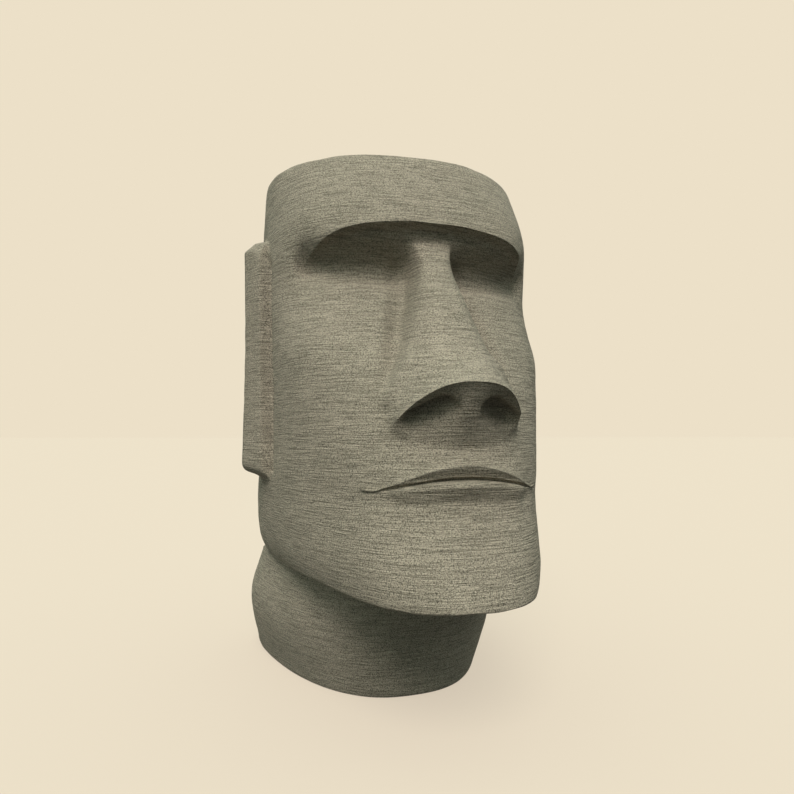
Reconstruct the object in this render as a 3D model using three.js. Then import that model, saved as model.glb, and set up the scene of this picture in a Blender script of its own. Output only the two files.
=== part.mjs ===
// A standing stone head in the manner of the Easter Island statues, cast as one block with a
// flat underside. Millimetres, +Z up. The face looks along -Y, and the origin is the middle of
// the underside.
import * as THREE from 'three';
import { mergeVertices } from 'three/addons/utils/BufferGeometryUtils.js';

// Heights, each a stretch stacked on the one below it.
const neckHeight = 55;
const chinHeight = 36;
const lowerLipHeight = 9;
const upperLipHeight = 5;
const skinAboveLip = 6;
const noseUnderside = 24;
const noseLength = 47;
const socketHeight = 23;
const foreheadHeight = 35;

// How far in front of the origin the face stands, from the neck up.
const neckReach = 62;
const chinReach = 135;
const mouthReach = 121;
const noseRootReach = 117;
const noseTipReach = 131;
const cheekReach = 100;
const bridgeReach = 87;
const browReach = 93;
const crownReach = 78;

// How far the neck's front draws back from the foot's, half way up and at its top.
const neckMiddleShare = 0.52;
const neckMiddleLean = 9;
const neckTopLean = 20;

// Where along the depth the block is widest: in front of the origin, or behind it for the neck.
const jawWidest = 4;
const noseRootWidest = 18;
const browWidest = 20;
const crownWidest = 22;
const footWidestBack = 32;
const collarWidestBack = 8;

// How far behind the origin the back stands.
const footBack = 60;
const neckBack = 64;
const napeBack = 46;
const skullBack = 50;
const crownBack = 42;

// Half widths of the block and of the things carved on it.
const footHalfWidth = 60;
const neckHalfWidth = 66;
const collarHalfWidth = 60;
const jawHalfWidth = 60;
const jowlHalfWidth = 65;
const jowlRise = 12;
const jowlEase = 1;
const browFlare = 1;
const cheekHalfWidth = 64;
const crownHalfWidth = 64;
const bridgeHalfWidth = 11;
const wingHalfWidth = 27.5;
const mouthHalfWidth = 31;
const socketHalfWidth = 54;

// Carving, as depths and drops.
const socketDepth = 12;
const templeDepth = 7;
const templeSpan = 11;
const templeShare = 0.6;
const socketEndShare = 0.7;
const browDrop = 15;
const noseRimDrop = 16;
const wingRootRise = 5;
const nostrilDepth = 4;
const lipStand = 2;
const lipFold = 3;
const mouthCut = 4;
const upperLipDrop = 9;
const mouthLineDrop = 4.5;
const jawRise = 2;
const edgeRound = 1.6;

// Ears: long flaps along the sides, standing off more toward their back edge.
const earLength = 107;
const earBelowBrow = 1;
const earStand = 10;
const earFront = -44;
const earDepth = 26;
const earTopTilt = 6;
const earEndRound = 5;
const earFootInset = 3;
// Stops along the ear from its front foot to its back foot, and how far it stands off at each.
const earStops = [0, 0.07, 0.43, 0.8, 1];
const earProfile = [0, 0.42, 0.7, 1, 0];

// Levels that the carving lies on.
const jawLevel = neckHeight;
const foldLevel = jawLevel + chinHeight;
const mouthLevel = foldLevel + lowerLipHeight;
const lipLevel = mouthLevel + upperLipHeight;
const noseRootLevel = lipLevel + skinAboveLip;
const noseTipLevel = noseRootLevel + noseUnderside;
const socketLevel = noseTipLevel + noseLength;
const browLevel = socketLevel + socketHeight;
const crownLevel = browLevel + foreheadHeight;
const templeLevel = socketLevel + 4;
const earTop = browLevel - earBelowBrow;
const earBottom = earTop - earLength;

// Columns of the surface on one half, counted from the middle of the face round to the back.
const cornerColumn = 7;
const socketColumn = 14;
const earColumn = 17;
const earBackColumn = earColumn + earStops.length - 1;
const backColumn = 29;
const columns = 2 * backColumn;

// A smooth curve through a few [level, value] pairs.
function curveThrough(pairs) {
  const slopes = pairs.map((pair, i) => {
    const before = pairs[Math.max(i - 1, 0)];
    const after = pairs[Math.min(i + 1, pairs.length - 1)];
    return (after[1] - before[1]) / (after[0] - before[0]);
  });
  return (level) => {
    if (level <= pairs[0][0]) return pairs[0][1];
    const i = pairs.findIndex((pair) => level <= pair[0]);
    if (i < 0) return pairs[pairs.length - 1][1];
    const [z0, v0] = pairs[i - 1];
    const [z1, v1] = pairs[i];
    const step = z1 - z0;
    const t = (level - z0) / step;
    const rise = (3 - 2 * t) * t * t;
    const bendIn = t * (1 - t) * (1 - t) * step * slopes[i - 1];
    const bendOut = t * t * (t - 1) * step * slopes[i];
    return v0 + (v1 - v0) * rise + bendIn + bendOut;
  };
}

// The plain block, as level sections. Each section is widest at `widest`, reaches `front` before
// it and `back` behind it, `bluntness` says how squarely its front turns into its sides, and
// `taper` how much narrower than an even round it runs out at the front.
const tipToCheek = 17;
const cheekLevel = noseTipLevel + tipToCheek;
const headFront = curveThrough([
  [jawLevel, -chinReach],
  [foldLevel, -mouthReach - 1],
  [mouthLevel, -mouthReach],
  [noseRootLevel, -noseRootReach],
  [cheekLevel, -cheekReach],
  [socketLevel, -browReach],
  [browLevel, -browReach],
  [crownLevel, -crownReach],
]);
const headHalf = curveThrough([
  [jawLevel, jawHalfWidth],
  [jawLevel + jowlRise, jowlHalfWidth - jowlEase],
  [foldLevel, jowlHalfWidth],
  [cheekLevel, cheekHalfWidth],
  [browLevel, crownHalfWidth + browFlare],
  [crownLevel, crownHalfWidth],
]);
const headWidest = curveThrough([
  [jawLevel, -jawWidest],
  [noseRootLevel, -noseRootWidest],
  [browLevel, -browWidest],
  [crownLevel, -crownWidest],
]);
const headBack = curveThrough([[jawLevel, napeBack], [cheekLevel, skullBack], [crownLevel, crownBack]]);
const headBluntness = curveThrough([
  [jawLevel, 2.6],
  [mouthLevel, 2.4],
  [cheekLevel, 3.0],
  [socketLevel, 3.1],
  [browLevel, 2.8],
  [crownLevel, 2.15],
]);
const headTaper = curveThrough([[jawLevel, 14], [noseRootLevel, 6], [cheekLevel, 0]]);
const backBluntness = 2.4;

const neckMiddle = neckMiddleShare * neckHeight;
const neckFront = curveThrough([
  [0, -neckReach],
  [neckMiddle, -neckReach - neckMiddleLean],
  [neckHeight, -neckReach - neckTopLean],
]);
const neckHalf = curveThrough([
  [0, footHalfWidth],
  [neckMiddle, neckHalfWidth],
  [neckHeight, collarHalfWidth],
]);
const neckWidest = curveThrough([[0, footWidestBack], [neckHeight, collarWidestBack]]);
const neckBackAt = curveThrough([[0, footBack], [neckMiddle, neckBack], [neckHeight, napeBack]]);
const neckBluntness = 2.5;
const neckTaper = 13;

function headSection(level) {
  return {
    front: headFront(level),
    back: headBack(level),
    half: headHalf(level),
    widest: headWidest(level),
    bluntness: headBluntness(level),
    taper: headTaper(level),
  };
}

function neckSection(level) {
  return {
    front: neckFront(level),
    back: neckBackAt(level),
    half: neckHalf(level),
    widest: neckWidest(level),
    bluntness: neckBluntness,
    taper: neckTaper,
  };
}

// The turn round a section, from 0 at its front to PI at its back, where it is `across` from the
// middle. The taper is followed in a few steps.
function turnAtWidth(section, across) {
  let turn = 0;
  for (let i = 0; i < 8; i++) {
    const ahead = Math.cos(turn) ** (2 / section.bluntness);
    const share = Math.min(across / (section.half - section.taper * ahead), 1);
    turn = Math.asin(share ** (section.bluntness / 2));
  }
  return turn;
}

// The turn round a section's front half at the depth `y`.
function turnAtDepth(section, y) {
  const share = (section.widest - y) / (section.widest - section.front);
  return Math.acos(Math.min(Math.max(share, 0), 1) ** (section.bluntness / 2));
}

function pointOnSection(section, turn) {
  const ahead = turn <= Math.PI / 2;
  const power = 2 / (ahead ? section.bluntness : backBluntness);
  const depth = ahead ? section.front - section.widest : section.back - section.widest;
  const along = Math.abs(Math.cos(turn)) ** power;
  const half = section.half - (ahead ? section.taper * along : 0);
  return {
    x: half * Math.sin(turn) ** power,
    y: section.widest + depth * along,
  };
}

// Half the width of the nose, carried on as the mouth's below it and the brow's above it.
const cornerHalf = curveThrough([
  [0, mouthHalfWidth],
  [mouthLevel, mouthHalfWidth],
  [noseRootLevel, wingHalfWidth - 1],
  [noseTipLevel - 8, wingHalfWidth],
  [cheekLevel, 18.5],
  [socketLevel - 8, 14],
  [browLevel - 10, bridgeHalfWidth],
  [crownLevel, bridgeHalfWidth + 6],
]);

// The line of the nose's ridge, and how it stands up from the crease at its side to the ridge.
const noseRidge = curveThrough([
  [noseTipLevel, -noseTipReach],
  [cheekLevel - 4, -noseRootReach],
  [cheekLevel + 18, -cheekReach - 4],
  [browLevel - 6, -bridgeReach],
]);

function noseSwell(share) {
  return (1 - share ** 3) ** 0.6;
}

// The turn of each column round a section: evenly over the nose or mouth, over the socket, on to
// the ear, along the ear, and round to the back. The socket takes `socketShare` of its stretch.
const socketShare = 0.64;
function columnTurn(section, column, level) {
  const cornerTurn = turnAtWidth(section, cornerHalf(level));
  const earTurn = turnAtDepth(section, earFront + earFootInset);
  const earBackTurn = turnAtDepth(section, earFront + earDepth);
  if (column <= cornerColumn) {
    return turnAtWidth(section, cornerHalf(level) * column / cornerColumn);
  }
  if (column <= socketColumn) {
    const share = socketShare * (column - cornerColumn) / (socketColumn - cornerColumn);
    return cornerTurn + (earTurn - cornerTurn) * share;
  }
  if (column <= earColumn) {
    const share = socketShare + (1 - socketShare) * (column - socketColumn) / (earColumn - socketColumn);
    return cornerTurn + (earTurn - cornerTurn) * share;
  }
  if (column <= earBackColumn) {
    return earTurn + (earBackTurn - earTurn) * earStops[column - earColumn];
  }
  const share = (column - earBackColumn) / (backColumn - earBackColumn);
  return earBackTurn + (Math.PI - earBackTurn) * share;
}

const mix = (from, to, share) => from + (to - from) * share;
const clamp = (share) => Math.min(Math.max(share, 0), 1);
const smooth = (share) => (3 - 2 * clamp(share)) * clamp(share) ** 2;

// How far a column has come over the ear: 0 at its front, 1 at its back edge, 0 again by the back.
function overEar(column) {
  const topColumn = earBackColumn - 1;
  const before = (column - earColumn) / (topColumn - earColumn);
  const behind = (backColumn - column) / (backColumn - topColumn);
  return smooth(Math.min(before, behind));
}

// Each row of the surface has a level at the middle of the face, one at the corner of the nose or
// mouth and one at the side of the head. `bow` says how late the row leaves its middle level, and
// `arch` how far it follows the arch of the brow, which comes down to the socket's outer end.
function rowLevel(row, column) {
  const corner = row.corner ?? row.level;
  const side = row.side ?? row.level;
  if (column <= cornerColumn) {
    return mix(row.level, corner, (column / cornerColumn) ** (row.bow ?? 2));
  }
  const arch = row.arch ?? 0;
  const pastSocket = smooth((column - socketColumn) / (earColumn - socketColumn));
  const toEar = smooth((column - cornerColumn) / (earColumn - cornerColumn));
  const level = mix(corner, side, row.arch === undefined ? toEar : pastSocket);
  const drop = browDrop * clamp(column / socketColumn) ** 5 * (1 - pastSocket);
  return level - arch * drop + Math.max(arch, 0) * earTopTilt * overEar(column);
}

// How deep the eye sockets lie: whole over the eye, less at the outer end, gone at the ear. The
// temple round a socket's outer end is dished too, above the brow's edge and below it.
function socketDepthAt(row, x, turn, level) {
  if (turn > Math.PI / 2) return 0;
  const inside = 1 - (1 - socketEndShare) * clamp(x / socketHalfWidth) ** 6;
  const outside = 1 - smooth((x - socketHalfWidth) / (cheekHalfWidth - socketHalfWidth));
  const reach = (level - templeLevel) / templeSpan;
  const templeStart = templeShare * socketHalfWidth;
  const sideways = smooth((x - templeStart) / (socketHalfWidth - templeStart));
  const temple = templeDepth * Math.exp(-reach * reach) * sideways;
  return Math.max(socketDepth * (row.socket ?? 0) * inside, temple) * outside;
}

// How far the ear stands off the side of the head, with its two ends rounded over.
function earStandAt(column, level) {
  const along = earProfile[column - earColumn] ?? 0;
  const toEnd = Math.min(earTop + earTopTilt * overEar(column) - level, level - earBottom);
  if (toEnd <= 0) return 0;
  const share = Math.min(toEnd / earEndRound, 1);
  return earStand * along * Math.sqrt(1 - (1 - share) ** 2);
}

// Moves a point of a section straight out from, or in toward, the section's own middle.
function pushed(section, point, distance) {
  const reach = Math.hypot(point.x, point.y - section.widest);
  const grown = 1 + distance / reach;
  return { x: point.x * grown, y: section.widest + (point.y - section.widest) * grown };
}

function headPoint(row, column) {
  const level = rowLevel(row, column);
  const section = headSection(level);
  const turn = columnTurn(section, column, level);
  let point = pointOnSection(section, turn);
  const share = column / cornerColumn;
  const stand = earStandAt(column, level) - socketDepthAt(row, point.x, turn, level) - (row.inset ?? 0);
  point = pushed(section, point, stand);
  if (row.nose && share < 1) {
    const ridge = noseRidge(row.level) + (row.rim ?? 0);
    const face = pushed(section, { x: 0, y: section.front }, -socketDepthAt(row, 0, 0, level)).y;
    point.y += (ridge - face) * noseSwell(share);
  }
  if (row.lip && share < 1) {
    point.y -= row.lip * (1 - share ** 3);
  }
  return new THREE.Vector3(point.x, point.y, level);
}

// The rows of the head, from the crown down to the jaw.
const headRows = [];
function addRows(count, make) {
  for (let i = 0; i < count; i++) {
    headRows.push(make(count > 1 ? i / (count - 1) : 0));
  }
}

// Rounded edge of the flat crown.
addRows(3, (t) => ({ level: crownLevel - 2 * edgeRound * t * t, inset: 1.5 * edgeRound * (1 - t) ** 2 }));
// Forehead, down to the front edge of the brow.
addRows(5, (t) => ({
  level: mix(crownLevel - 9, browLevel + 0.8, t),
  side: mix(crownLevel - 9, earTop + 0.8, t),
  arch: t * t,
}));
// Under the brow and back to the crease above the cheek.
addRows(6, (t) => ({
  level: mix(browLevel - 0.8, socketLevel, t ** 1.5),
  side: mix(earTop - 0.7, socketLevel - 1, t),
  arch: mix(1, -0.3, t ** 1.5),
  socket: t ** 0.5,
  nose: t > 0.2,
}));
// Cheek, and the front of the nose as it widens toward its rim.
addRows(10, (t) => ({
  level: mix(socketLevel - 3, noseTipLevel + 1.5, 1 - (1 - t) ** 1.3),
  corner: mix(socketLevel - 3, noseTipLevel - noseRimDrop + 1.5, 1 - (1 - t) ** 1.3),
  side: mix(socketLevel - 5, noseTipLevel + 2, t),
  bow: 3,
  socket: 0.92 * Math.max(1 - 1.6 * t, 0) ** 1.4,
  nose: true,
}));
// Rim of the nose, its underside, and the line where that meets the lip.
addRows(2, (t) => ({
  level: noseTipLevel - t,
  corner: noseTipLevel - noseRimDrop - 0.5 * t,
  side: noseTipLevel - 3 * t,
  bow: 3,
  nose: true,
  rim: t,
}));
addRows(4, (t) => ({
  level: mix(noseTipLevel - 6, noseRootLevel, t),
  corner: mix(noseTipLevel - noseRimDrop - 1.2, noseRootLevel + wingRootRise, t),
  side: mix(noseTipLevel - 8, noseRootLevel + 3, t),
  under: 0.8 * (1 - t),
}));
// Skin above the lip, the upper lip's edge and the lip rolling in to the mouth line.
addRows(3, (t) => ({
  level: mix(noseRootLevel - 2.5, lipLevel, t),
  corner: mix(noseRootLevel - 3, lipLevel - upperLipDrop, t),
  side: mix(noseRootLevel - 1, lipLevel + 1, t),
  lip: mix(0.2, lipStand, t * t),
}));
addRows(3, (t) => ({
  level: mix(lipLevel - 0.7, mouthLevel + 0.5, t),
  corner: mix(lipLevel - upperLipDrop - 0.3, mouthLevel - mouthLineDrop + 0.4, t),
  side: mix(lipLevel - 1.5, mouthLevel - 0.2, t),
  lip: mix(lipStand - 0.3, -1.5, t),
}));
addRows(1, () => ({
  level: mouthLevel,
  corner: mouthLevel - mouthLineDrop,
  side: mouthLevel - 1.2,
  lip: -mouthCut,
}));
// Lower lip and the fold under it.
addRows(5, (t) => ({
  level: mix(mouthLevel - 0.6, foldLevel, t),
  corner: mix(mouthLevel - mouthLineDrop - 0.4, foldLevel, t),
  side: mix(mouthLevel - 2.4, foldLevel - 2, t),
  lip: lipStand * Math.sin(2.2 * Math.PI * (t * 0.8 + 0.12)) * (1 - t) - lipFold * t * t,
}));
// Chin, down to the rounded lower edge of the jaw.
addRows(6, (t) => ({
  level: mix(foldLevel - 4, jawLevel + 2 * edgeRound, t),
  side: mix(foldLevel - 6, jawLevel + jawRise + 2 * edgeRound, t),
  lip: -lipFold * Math.max(0.4 - t, 0),
}));
addRows(2, (t) => ({
  level: jawLevel + mix(0.5, 0, t) * edgeRound,
  side: jawLevel + jawRise + mix(0.5, 0, t) * edgeRound,
  inset: mix(0.4, 1.4, t) * edgeRound,
}));

// A point on the nose's underside, hollowed for the two nostrils.
function undersidePoint(row, column) {
  const rim = headRows.findLast((other) => other.nose);
  const root = headRows.findLast((other) => other.under !== undefined);
  const share = column / cornerColumn;
  const point = headPoint(root, column).lerp(headPoint(rim, column), row.under);
  const hollow = nostrilDepth * Math.sin(Math.PI * row.under) * Math.sin(Math.PI * share) ** 2;
  point.y += 0.8 * hollow;
  point.z += 0.6 * hollow;
  return point;
}

// The neck, from the fold under the jaw to the rounded edge of the underside.
const neckRows = [];
for (const share of [1, 0.86, 0.7, 0.54, 0.38, 0.22, 0.1, 0.03]) {
  neckRows.push({ share, inset: 0 });
}
neckRows.push({ share: 0.3 * edgeRound / neckHeight, inset: 0.3 * edgeRound });
neckRows.push({ share: 0, inset: edgeRound });

function neckPoint(row, column) {
  const section = neckSection(neckHeight * row.share);
  const turn = columnTurn(headSection(jawLevel), column, jawLevel);
  const point = pushed(section, pointOnSection(section, turn), -row.inset);
  const top = rowLevel(headRows[headRows.length - 1], column) - 0.5 * edgeRound;
  return new THREE.Vector3(point.x, point.y, top * row.share);
}

function headRowPoint(row, column) {
  const onNose = row.under !== undefined && row.under > 0 && column < cornerColumn;
  return onNose ? undersidePoint(row, column) : headPoint(row, column);
}

// Every ring of the block from the middle of the crown to the middle of the underside, each a
// function from a column to a point.
const capShares = [0, 0.3, 0.6, 0.86];
const rings = [];
for (const share of capShares) {
  rings.push((column) => {
    const middle = new THREE.Vector3(0, headWidest(crownLevel), crownLevel);
    return middle.lerp(headRowPoint(headRows[0], column), share);
  });
}
for (const row of headRows) {
  rings.push((column) => headRowPoint(row, column));
}
for (const share of [0.35, 0.7]) {
  rings.push((column) => {
    const edge = headRowPoint(headRows[headRows.length - 1], column);
    return edge.lerp(neckPoint(neckRows[0], column), share);
  });
}
for (const row of neckRows) {
  rings.push((column) => neckPoint(row, column));
}
for (const share of [...capShares].reverse()) {
  rings.push((column) => {
    const middle = new THREE.Vector3(0, 0, 0);
    return middle.lerp(neckPoint(neckRows[neckRows.length - 1], column), share);
  });
}

// The skin is a closed grid of rings and columns: a sphere's grid with each vertex put in place.
function stoneHead() {
  const geometry = new THREE.SphereGeometry(1, columns, rings.length - 1);
  const position = geometry.getAttribute('position');
  for (let ring = 0; ring < rings.length; ring++) {
    for (let step = 0; step <= columns; step++) {
      const column = Math.abs(backColumn - step);
      const point = rings[ring](column);
      const side = step < backColumn ? -1 : 1;
      position.setXYZ(ring * (columns + 1) + step, side * point.x, point.y, point.z);
    }
  }
  geometry.deleteAttribute('normal');
  geometry.deleteAttribute('uv');
  const closed = mergeVertices(geometry, 1e-4);
  closed.computeVertexNormals();
  return closed;
}

const stone = new THREE.MeshStandardMaterial({ color: 0x8c8470, roughness: 0.95, metalness: 0 });
const head = new THREE.Mesh(stoneHead(), stone);
head.name = 'head';

const statue = new THREE.Group();
statue.add(head);

export default statue;
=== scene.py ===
# %% [markdown]
# # A standing stone head
#
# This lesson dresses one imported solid, a carved head 240 mm high, as weathered volcanic stone. The
# real object is a cast or carved copy of the old island statues: a flat crown, a heavy
# straight brow, long ears, a long nose and a thrust-out chin, all cut from one block. The frame
# gives the block's place and form, and the lesson keeps both. What it adds is a finer skin, a few
# deeper hollows, the slight unevenness of hand tooling, the stone itself, and the light.

import math

import bmesh
import bpy
import numpy as np
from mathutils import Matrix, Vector, noise


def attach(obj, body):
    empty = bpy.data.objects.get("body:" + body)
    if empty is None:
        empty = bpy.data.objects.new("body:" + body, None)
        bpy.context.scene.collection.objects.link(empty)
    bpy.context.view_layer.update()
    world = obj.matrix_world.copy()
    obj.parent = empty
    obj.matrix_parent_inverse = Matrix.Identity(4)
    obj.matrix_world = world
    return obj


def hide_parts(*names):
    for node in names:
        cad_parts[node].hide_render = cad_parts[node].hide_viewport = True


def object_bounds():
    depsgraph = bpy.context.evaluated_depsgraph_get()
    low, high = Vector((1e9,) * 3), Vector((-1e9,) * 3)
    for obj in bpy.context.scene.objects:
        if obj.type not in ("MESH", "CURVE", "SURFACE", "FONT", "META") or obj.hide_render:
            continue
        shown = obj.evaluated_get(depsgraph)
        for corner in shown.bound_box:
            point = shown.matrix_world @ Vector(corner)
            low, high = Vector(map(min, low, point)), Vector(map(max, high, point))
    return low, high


MILLIMETRE = 0.001

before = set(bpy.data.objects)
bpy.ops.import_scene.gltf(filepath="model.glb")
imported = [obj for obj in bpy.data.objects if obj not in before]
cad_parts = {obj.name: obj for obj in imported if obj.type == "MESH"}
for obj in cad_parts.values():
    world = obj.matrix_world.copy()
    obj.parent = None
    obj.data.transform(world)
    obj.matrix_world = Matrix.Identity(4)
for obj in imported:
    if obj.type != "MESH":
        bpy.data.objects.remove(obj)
cad_low, cad_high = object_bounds()
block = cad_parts["head"]
block_size = [round(side / MILLIMETRE) for side in cad_high - cad_low]
print("block:", len(block.data.polygons), "triangles,", block_size, "mm")

# %% [markdown]
# ## The camera
#
# The photograph was taken close to the head, at about the height of its nose, from a little to one
# side. Close cameras make the level rims bow strongly, so the distance and the lens both matter:
# the place below was worked out from how much the crown, the mouth and the foot of the neck bow.
# The camera comes first because every later choice is judged through it.

# %% Place the camera
PHOTO_PIXELS = 794
FOCAL_PIXELS = 600
SENSOR_WIDTH = 36.0
CAMERA_PLACE = (-0.0923, -0.3212, 0.1161)
CAMERA_TURN = -18.0
CAMERA_PITCH = 3.65
NEAREST_SEEN = 0.01

# A new camera looks straight down, so it is first raised by a right angle to look level.
LEVEL = 90
bpy.ops.object.camera_add(
    location=CAMERA_PLACE,
    rotation=(math.radians(LEVEL + CAMERA_PITCH), 0, math.radians(CAMERA_TURN)),
)
camera = bpy.context.object
camera.name = "photo_camera"
camera.data.sensor_width = SENSOR_WIDTH
camera.data.lens = SENSOR_WIDTH * FOCAL_PIXELS / PHOTO_PIXELS
camera.data.clip_start = NEAREST_SEEN
bpy.context.scene.camera = camera
print("lens:", round(camera.data.lens, 1), "mm")

# %% [markdown]
# ## A finer skin for the block
#
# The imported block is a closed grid: rings one below the other, each cut into the same number of
# columns, with every cell split into two triangles. Smoothing works far better on four-sided
# cells, so the splits are taken out first. The rings are found by counting steps down from the
# middle of the crown. Walking round a triangle, the edge that comes after its level edge is always
# the split, so those edges can be picked exactly and dissolved.

# %% Copy the block and weld its corners
WELD_DISTANCE = 1e-6

bpy.ops.object.select_all(action="DESELECT")
skin_mesh = block.data.copy()
skin = bpy.data.objects.new("stone_head", skin_mesh)
bpy.context.scene.collection.objects.link(skin)
skin_mesh.materials.clear()
skin.select_set(True)
bpy.context.view_layer.objects.active = skin
bpy.ops.object.mode_set(mode="EDIT")
bpy.ops.mesh.select_all(action="SELECT")
bpy.ops.mesh.remove_doubles(threshold=WELD_DISTANCE)
bpy.ops.mesh.select_all(action="DESELECT")
bpy.ops.object.mode_set(mode="OBJECT")
print("welded:", len(skin_mesh.vertices), "corners")

# %% Count the rings down from the crown
# The crown is level, and its middle is the corner there at which the most edges meet.
HEIGHT_DIGITS = 5

cells = bmesh.new()
cells.from_mesh(skin_mesh)
crown = max(cells.verts, key=lambda corner: (round(corner.co.z, HEIGHT_DIGITS), len(corner.link_edges)))
ring_of = {crown: 0}
reached = [crown]
while reached:
    following = []
    for corner in reached:
        for edge in corner.link_edges:
            other = edge.other_vert(corner)
            if other not in ring_of:
                ring_of[other] = ring_of[corner] + 1
                following.append(other)
    reached = following
print("rings:", max(ring_of.values()) + 1)

# %% Pick the edge that splits each cell
# The triangles that meet in the middle of the crown and of the underside are left as they are.
POLE_EDGES = 10

for edge in cells.edges:
    edge.select = False
for face in cells.faces:
    if any(len(corner.link_edges) > POLE_EDGES for corner in face.verts):
        continue
    for side in face.loops:
        if ring_of[side.vert] == ring_of[side.link_loop_next.vert]:
            side.link_loop_next.edge.select = True
split_count = sum(edge.select for edge in cells.edges)
cells.to_mesh(skin_mesh)
cells.free()
print("splits:", split_count)

# %% Dissolve the splits
# Edit mode has to open in its edge mode: in its corner mode every edge between two picked corners
# would count as picked, and the whole skin would melt into a few giant faces.
bpy.context.tool_settings.mesh_select_mode = (False, True, False)
bpy.ops.object.mode_set(mode="EDIT")
bpy.ops.mesh.dissolve_edges(use_verts=False)
bpy.ops.object.mode_set(mode="OBJECT")
print("cells:", len(skin_mesh.polygons))

# %% [markdown]
# ## Crisp edges and a rounded skin
#
# Tooled stone turns smoothly over the cheeks and forehead but breaks sharply under the brow, at
# the rim of the nose, along the lips, round the ears and under the jaw. A subdivision surface
# rounds everything alike, unless edges are creased. So the edges where the block already turns
# hard get a crease, and then two levels of subdivision are applied.

# %% Crease the hard edges
HARD_TURN = 28
CREASE = 0.85

bpy.ops.object.mode_set(mode="EDIT")
bpy.ops.mesh.select_all(action="DESELECT")
bpy.ops.mesh.edges_select_sharp(sharpness=math.radians(HARD_TURN))
bpy.ops.transform.edge_crease(value=CREASE)
bpy.ops.mesh.select_all(action="DESELECT")
bpy.ops.object.mode_set(mode="OBJECT")
print("creased where the skin turns by over", HARD_TURN, "degrees")

# %% Subdivide the skin
ROUNDING_LEVELS = 2

rounding = skin.modifiers.new("rounding", "SUBSURF")
rounding.levels = ROUNDING_LEVELS
rounding.render_levels = ROUNDING_LEVELS
bpy.ops.object.modifier_apply(modifier=rounding.name)
print("skin:", len(skin_mesh.polygons), "cells")

# %% [markdown]
# ## Deeper hollows
#
# The block carries each feature, but a carver goes over the darkest places once more: the eye
# sockets, the two nostrils with the wall between them, and the creases by nose and ear. The wings of
# the nose, the lower lip and the skin under it are left a little proud. A sculpting brush could do
# all this, but a short list of strokes can be read and changed. Each touch follows a line on one
# half of the face, fades out over its reach, and is done alike on the other half.

# %% List the touches
# Each touch: the start and the end of its line, its reach and its push, all in millimetres.
TOUCHES = {
    "socket": ((17, -82, 188), (49, -72, 189.5), 12.5, (0, 6.6, 0)),
    "crease beside the nose": ((12, -85, 186), (21.5, -101, 134), 8, (0, 3.8, 0)),
    "crease before the ear": ((63.5, -42.5, 101), (63.5, -42.5, 195), 4, (-2.2, 0, 0)),
    "wing of the nose": ((18, -107, 143), (24, -106, 131), 7.5, (1.8, -1.6, 0)),
    "nostril": ((9, -121, 125.5), (18.5, -116.5, 121), 6.2, (0, 4, 6)),
    "lower lip": ((0, -121, 96.5), (24, -115, 95.5), 5, (0, -1.8, 0)),
    "skin under the lip": ((0, -118, 91.5), (22, -114, 90.5), 6.5, (0, -2.1, 0)),
}


def touch_share(spot, start, end, reach):
    """How much of a touch a place gets: all of it on the line, none beyond the reach."""
    along = end - start
    share = max(0.0, min(1.0, (spot - start).dot(along) / along.length_squared))
    nearness = 1 - ((spot - start - share * along).length / reach) ** 2
    return max(0.0, nearness) ** 2


print("touches:", len(TOUCHES))

# %% Go over the skin with the touches
touched = dict.fromkeys(TOUCHES, 0)
for corner in skin_mesh.vertices:
    side = -1 if corner.co.x < 0 else 1
    spot = Vector((side * corner.co.x, corner.co.y, corner.co.z)) / MILLIMETRE
    shift = Vector((0, 0, 0))
    for name, (start, end, reach, push) in TOUCHES.items():
        share = touch_share(spot, Vector(start), Vector(end), reach)
        if share > 0:
            shift += share * Vector(push)
            touched[name] += 1
    corner.co += MILLIMETRE * Vector((side * shift.x, shift.y, shift.z))
print("points touched:", touched)

# %% [markdown]
# ## The unevenness of hand tooling
#
# No surface of such a head is truly even: it swells and dips by a few tenths of a millimetre. A
# displacement modifier could do this, but moving the points themselves decides exactly where it
# stops. Each point moves along its normal by smooth noise, which depends only on the point's place,
# so every run gives the same stone. The noise is taken a little to the inside, so that the skin
# stays within the block's box. The flat underside is left alone, because the head stands on it.

# %% Work out how far each point moves
SWELL_SIZE = 0.035
SWELL_HEIGHT = 0.0006
RIPPLE_SIZE = 0.009
RIPPLE_HEIGHT = 0.00022
INWARD_SHARE = 0.5
# Below this height the movement fades out toward the underside.
UNDERSIDE_KEEP = 0.004

corner_count = len(skin_mesh.vertices)
places = np.empty(3 * corner_count)
normals = np.empty(3 * corner_count)
skin_mesh.vertices.foreach_get("co", places)
skin_mesh.vertices.foreach_get("normal", normals)
places = places.reshape(-1, 3)
normals = normals.reshape(-1, 3)

shifts = np.empty(corner_count)
for number, place in enumerate(places):
    spot = Vector(place)
    shifts[number] = SWELL_HEIGHT * (noise.noise(spot / SWELL_SIZE) - INWARD_SHARE)
    shifts[number] += RIPPLE_HEIGHT * noise.noise(spot / RIPPLE_SIZE)
shifts *= np.clip(places[:, 2] / UNDERSIDE_KEEP, 0, 1)
print("moves by up to", round(float(np.abs(shifts).max()) / MILLIMETRE, 2), "mm")

# %% Move the points and shade the skin smooth
places += normals * shifts[:, None]
places[:, 2] = np.clip(places[:, 2], 0, cad_high.z)
skin_mesh.vertices.foreach_set("co", places.ravel())
skin_mesh.update()
skin.select_set(True)
bpy.context.view_layer.objects.active = skin
bpy.ops.object.shade_smooth()
print("top at", round(float(places[:, 2].max()) / MILLIMETRE, 1), "mm")

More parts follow.
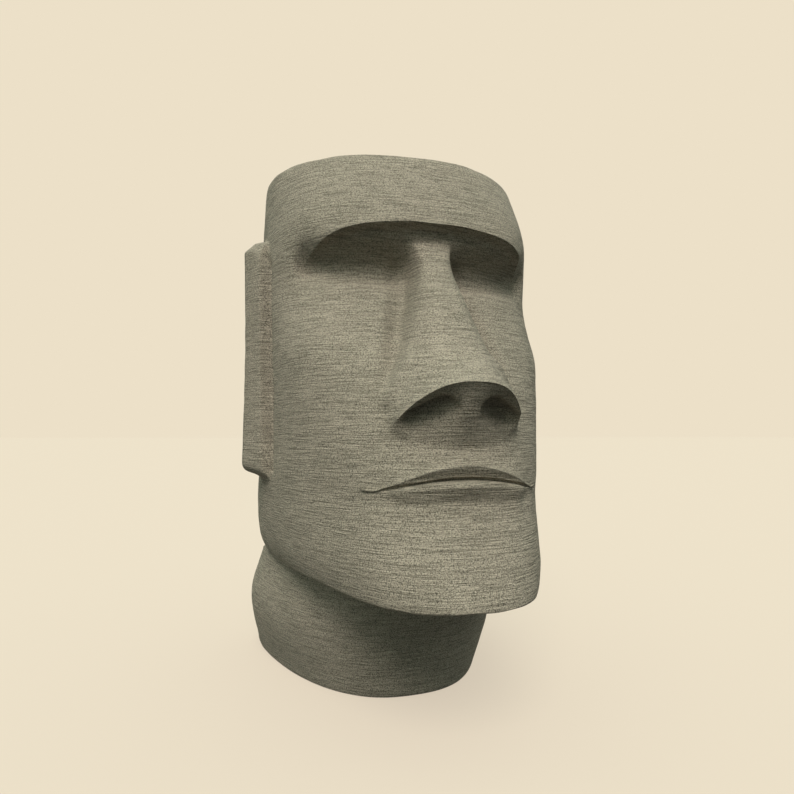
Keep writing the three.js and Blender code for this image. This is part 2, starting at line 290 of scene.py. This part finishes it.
# %% [markdown]
# ## The stone
#
# The stone is a matt, warm grey-green, a little darker where dust and damp sit. Close up it shows
# three things at three scales: broad mottling, fine level lines about a millimetre apart left by the
# tool, and a fine grain of dark pits. All three are noise textures read from object coordinates, so
# the stone runs through the piece as it would through a real block. The level lines are noise
# squeezed in height, which makes short broken streaks and not ruled stripes. The lines and pits are
# darkened in colour just where the relief sinks them. In the grooves this is painted shade. In the
# pits it is painted shade on top of the stone's own dark speckle.

# %% Start the stone's material
MATT = 0.92
DULL = 0.2

stone = bpy.data.materials.new("tooled_stone")
stone.use_nodes = True
nodes = stone.node_tree.nodes
links = stone.node_tree.links
shader = nodes["Principled BSDF"]
shader.inputs["Roughness"].default_value = MATT
shader.inputs["Specular IOR Level"].default_value = DULL
coordinates = nodes.new("ShaderNodeTexCoord")
print("material:", stone.name)


# %% The mottling, and a helper for all three textures
MOTTLE_SCALE = 22
MOTTLE_DETAIL = 5


def stone_noise(name, scale, detail, stretch=(1, 1, 1), roughness=0.5, wander=0):
    """A noise texture on the block's own coordinates, stretched along its axes."""
    mapping = nodes.new("ShaderNodeMapping")
    mapping.inputs["Scale"].default_value = stretch
    texture = nodes.new("ShaderNodeTexNoise")
    texture.name = name
    texture.inputs["Scale"].default_value = scale
    texture.inputs["Detail"].default_value = detail
    texture.inputs["Roughness"].default_value = roughness
    texture.inputs["Distortion"].default_value = wander
    links.new(coordinates.outputs["Object"], mapping.inputs["Vector"])
    links.new(mapping.outputs["Vector"], texture.inputs["Vector"])
    return texture.outputs["Fac"]


mottle = stone_noise("mottle", MOTTLE_SCALE, MOTTLE_DETAIL)
print("mottling about", round(1 / (MOTTLE_SCALE * MILLIMETRE)), "mm across")

# %% The level streaks and the grain
STREAK_SCALE = 85
STREAK_SQUEEZE = (1, 1, 25)
STREAK_WANDER = 0.4
GRAIN_SCALE = 2500
FINE_DETAIL = 2
FINE_ROUGHNESS = 0.6

streaks = stone_noise(
    "streaks",
    STREAK_SCALE,
    FINE_DETAIL,
    stretch=STREAK_SQUEEZE,
    roughness=FINE_ROUGHNESS,
    wander=STREAK_WANDER,
)
grain = stone_noise("grain", GRAIN_SCALE, FINE_DETAIL, roughness=FINE_ROUGHNESS)
print("textures:", [node.name for node in nodes if node.type == "TEX_NOISE"])

# %% The body colour, and a helper for ramps
# A list of tones runs from the noise's low values to its high ones.
STONE_DAMP = (0.40, 0.352, 0.27, 1)
STONE_BODY = (0.44, 0.38, 0.295, 1)
MOTTLE_TONES = [(0.3, STONE_DAMP), (0.6, STONE_BODY)]


def stone_ramp(value, tones):
    """A ramp from (position, colour) pairs."""
    ramp = nodes.new("ShaderNodeValToRGB")
    stops = ramp.color_ramp.elements
    stops[0].position, stops[0].color = tones[0]
    stops[1].position, stops[1].color = tones[-1]
    for position, colour in tones[1:-1]:
        stops.new(position).color = colour
    links.new(value, ramp.inputs["Fac"])
    return ramp.outputs["Color"]


body_colour = stone_ramp(mottle, MOTTLE_TONES)
print("body colour from", STONE_DAMP[:3], "to", STONE_BODY[:3])

# %% Painted shade in the sunk tool lines and pits, with the stone's speckle, over the body colour
WHITE = (1, 1, 1, 1)
# Dark where the noise is low, which is where the relief sinks the surface. This is painted shade in the
# grooves. In the pits it is painted shade together with the stone's speckle.
GROOVE_SHADE_TONES = [(0.38, (0.55, 0.55, 0.54, 1)), (0.5, (0.88, 0.88, 0.88, 1)), (0.6, WHITE)]
PIT_SHADE_AND_SPECKLE_TONES = [(0.36, (0.2, 0.2, 0.2, 1)), (0.5, (0.75, 0.75, 0.74, 1)), (0.62, WHITE)]
GROOVE_SHADE_SHARE = 0.8
PIT_SHADE_AND_SPECKLE_SHARE = 1.0
# A mix node shows different sockets for numbers, vectors and colours. These are its colour sockets.
FIRST_COLOUR = 6
SECOND_COLOUR = 7
MIXED_COLOUR = 2


def darken(colour, tone, share):
    """A colour multiplied by a tone: white leaves it as it is, and grey darkens it."""
    mixer = nodes.new("ShaderNodeMix")
    mixer.data_type = "RGBA"
    mixer.blend_type = "MULTIPLY"
    mixer.inputs["Factor"].default_value = share
    links.new(colour, mixer.inputs[FIRST_COLOUR])
    links.new(tone, mixer.inputs[SECOND_COLOUR])
    return mixer.outputs[MIXED_COLOUR]


# The lines and pits take painted shade where the relief below sinks them.
groove_shaded = darken(body_colour, stone_ramp(streaks, GROOVE_SHADE_TONES), GROOVE_SHADE_SHARE)
pit_and_groove_shaded = darken(groove_shaded, stone_ramp(grain, PIT_SHADE_AND_SPECKLE_TONES), PIT_SHADE_AND_SPECKLE_SHARE)
links.new(pit_and_groove_shaded, shader.inputs["Base Color"])
print("share of the streaks:", GROOVE_SHADE_SHARE, "and of the grain:", PIT_SHADE_AND_SPECKLE_SHARE)

# %% [markdown]
# ## The relief of lines and pits
#
# The tool lines are cut into the stone and the pits are sunk in it, so the same two noises also
# raise and lower the surface. Real displacement would need cells finer than the lines, many
# millions of them. Bump only turns the light on the surface, which is enough for so small a relief.
# The lines come first, and the pits go on top of them.

# %% The relief: tool lines and pits
LINE_HEIGHT = 0.0006
PIT_HEIGHT = 0.0003
FULL_STRENGTH = 1.0


def stone_bump(value, height):
    """A bump from a noise, of that height from its lowest value to its highest."""
    bump = nodes.new("ShaderNodeBump")
    bump.inputs["Strength"].default_value = FULL_STRENGTH
    bump.inputs["Distance"].default_value = height
    links.new(value, bump.inputs["Height"])
    return bump


lines = stone_bump(streaks, LINE_HEIGHT)
pits = stone_bump(grain, PIT_HEIGHT)
links.new(lines.outputs["Normal"], pits.inputs["Normal"])
links.new(pits.outputs["Normal"], shader.inputs["Normal"])
skin_mesh.materials.append(stone)
print("relief:", round(LINE_HEIGHT / MILLIMETRE, 1), "and", round(PIT_HEIGHT / MILLIMETRE, 1), "mm")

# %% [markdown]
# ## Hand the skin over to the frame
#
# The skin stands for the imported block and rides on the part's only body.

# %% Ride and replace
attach(skin, "root")
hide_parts("head")
print("stone head rides on root")

# %% [markdown]
# ## The floor
#
# The head stands on a wide, pale cream floor that runs out to the horizon, where it meets a sky of
# the same cream. A real floor this pale would throw so much light up that the eye sockets and the
# underside of the nose would turn grey, so the floor is hidden from the stone's diffuse light. Most
# of its brightness is a glow of its own, and the rest is lit, so that it still takes a soft shadow.

# %% Lay the floor
FLOOR_SIZE = 60.0

bpy.ops.object.select_all(action="DESELECT")
bpy.ops.mesh.primitive_plane_add(size=FLOOR_SIZE)
floor = bpy.context.object
floor.name = "floor"
floor.visible_diffuse = False
print("floor:", FLOOR_SIZE, "m square")

# %% Give the floor its cream
LIT_CREAM = (0.16, 0.142, 0.11, 1)
GLOW_CREAM = (0.889, 0.767, 0.616, 1)
GLOW_STRENGTH = 0.68
PAPER_ROUGHNESS = 0.95

floor_paper = bpy.data.materials.new("cream_floor")
floor_paper.use_nodes = True
floor_shader = floor_paper.node_tree.nodes["Principled BSDF"]
floor_shader.inputs["Base Color"].default_value = LIT_CREAM
floor_shader.inputs["Roughness"].default_value = PAPER_ROUGHNESS
floor_shader.inputs["Specular IOR Level"].default_value = 0.0
floor_shader.inputs["Emission Color"].default_value = GLOW_CREAM
floor_shader.inputs["Emission Strength"].default_value = GLOW_STRENGTH
floor.data.materials.append(floor_paper)
print("floor glow:", GLOW_STRENGTH)

# %% [markdown]
# ## The light
#
# The light comes from broad soft sources: every upright face is lit nearly alike, and whatever looks
# down or lies under the brow is dark. Most of it comes from the world, which is bright above and dim
# below, and from a broad sun, high in front and a little to the left, which adds the soft shadows of
# the brow, the nose and the jaw. What the eye sees of the world behind the head is plain cream.

# %% Read how high each direction of the world points
# A direction's height runs from -1 to 1. Halving it and adding a half makes that 0 to 1.
HALF = 0.5

world = bpy.data.worlds.new("soft_sky")
world.use_nodes = True
sky_nodes = world.node_tree.nodes
sky_links = world.node_tree.links
direction = sky_nodes.new("ShaderNodeTexCoord")
split = sky_nodes.new("ShaderNodeSeparateXYZ")
upness = sky_nodes.new("ShaderNodeMath")
upness.operation = "MULTIPLY_ADD"
upness.inputs[1].default_value = HALF
upness.inputs[2].default_value = HALF
sky_links.new(direction.outputs["Generated"], split.inputs["Vector"])
sky_links.new(split.outputs["Z"], upness.inputs[0])
print("world:", world.name)

# %% Make the sky bright above and dim below
SKY_TONE = (0.84, 1.0, 0.92, 1)
SKY_STRENGTH = 1.4
# How bright each height of the world is, from straight down (0) through level (0.5) to overhead (1).
SKY_STOPS = ((0.0, 0.02), (0.5, 0.11), (0.66, 0.18), (0.82, 1.0))

sky_ramp = sky_nodes.new("ShaderNodeValToRGB")
heights = sky_ramp.color_ramp.elements
for place, brightness in SKY_STOPS:
    stop = heights[0] if place == 0.0 else heights.new(place)
    stop.color = [brightness * part for part in SKY_TONE[:3]] + [1]
heights[-1].color = SKY_TONE
room = sky_nodes["Background"]
room.inputs["Strength"].default_value = SKY_STRENGTH
sky_links.new(upness.outputs["Value"], sky_ramp.inputs["Fac"])
sky_links.new(sky_ramp.outputs["Color"], room.inputs["Color"])
print("sky stops:", len(heights))

# %% Show plain cream behind the head
# The mix gives its first shader to the light on the stone, and its second to the eye.
# The plain view transform carries the cream into the picture just as it is given here.
SKY_CREAM = (0.84, 0.745, 0.578, 1)

cream = sky_nodes.new("ShaderNodeBackground")
cream.inputs["Color"].default_value = SKY_CREAM
sight = sky_nodes.new("ShaderNodeLightPath")
either = sky_nodes.new("ShaderNodeMixShader")
sky_links.new(sight.outputs["Is Camera Ray"], either.inputs["Fac"])
sky_links.new(room.outputs["Background"], either.inputs[1])
sky_links.new(cream.outputs["Background"], either.inputs[2])
sky_links.new(either.outputs["Shader"], sky_nodes["World Output"].inputs["Surface"])
bpy.context.scene.world = world
bpy.context.scene.view_settings.view_transform = "Standard"
print("seen behind the head:", SKY_CREAM[:3])

# %% [markdown]
# ## The two suns
#
# A large lamp close by would give soft shadows too, but it lights the floor unevenly, and its edge
# can show there as a line. A sun lamp gives the same light everywhere, and a wide angle makes its
# shadows soft. The strong one is high, in front and a little to the left. A weak one, low on the
# left, brightens the cheek, the jaw and the neck on that side.

# %% Hang the high sun
SUN_FROM = Vector((-0.35, -0.85, 0.95))
SUN_STRENGTH = 2.6
SUN_SPREAD = 28
SUN_TONE = (1.0, 0.94, 0.90)


def hang_sun(name, place, strength, spread, tone):
    """A sun lamp that shines from a place toward the origin, its width in degrees."""
    bpy.ops.object.light_add(type="SUN", location=place)
    lamp = bpy.context.object
    lamp.name = name
    lamp.data.energy = strength
    lamp.data.angle = math.radians(spread)
    lamp.data.color = tone
    lamp.rotation_mode = "QUATERNION"
    lamp.rotation_quaternion = (-place).to_track_quat("-Z", "Y")


hang_sun("high_sun", SUN_FROM, SUN_STRENGTH, SUN_SPREAD, SUN_TONE)
print("sun height:", round(math.degrees(math.asin(SUN_FROM.z / SUN_FROM.length))), "degrees")

# %% Add a weak, broad fill from the left
FILL_FROM = Vector((-0.75, -0.55, 0.10))
FILL_STRENGTH = 0.4
FILL_SPREAD = 40
FILL_TONE = (0.86, 1.0, 0.84)

hang_sun("left_fill", FILL_FROM, FILL_STRENGTH, FILL_SPREAD, FILL_TONE)
print("the sun is", round(SUN_STRENGTH / FILL_STRENGTH, 1), "times as strong as the fill")
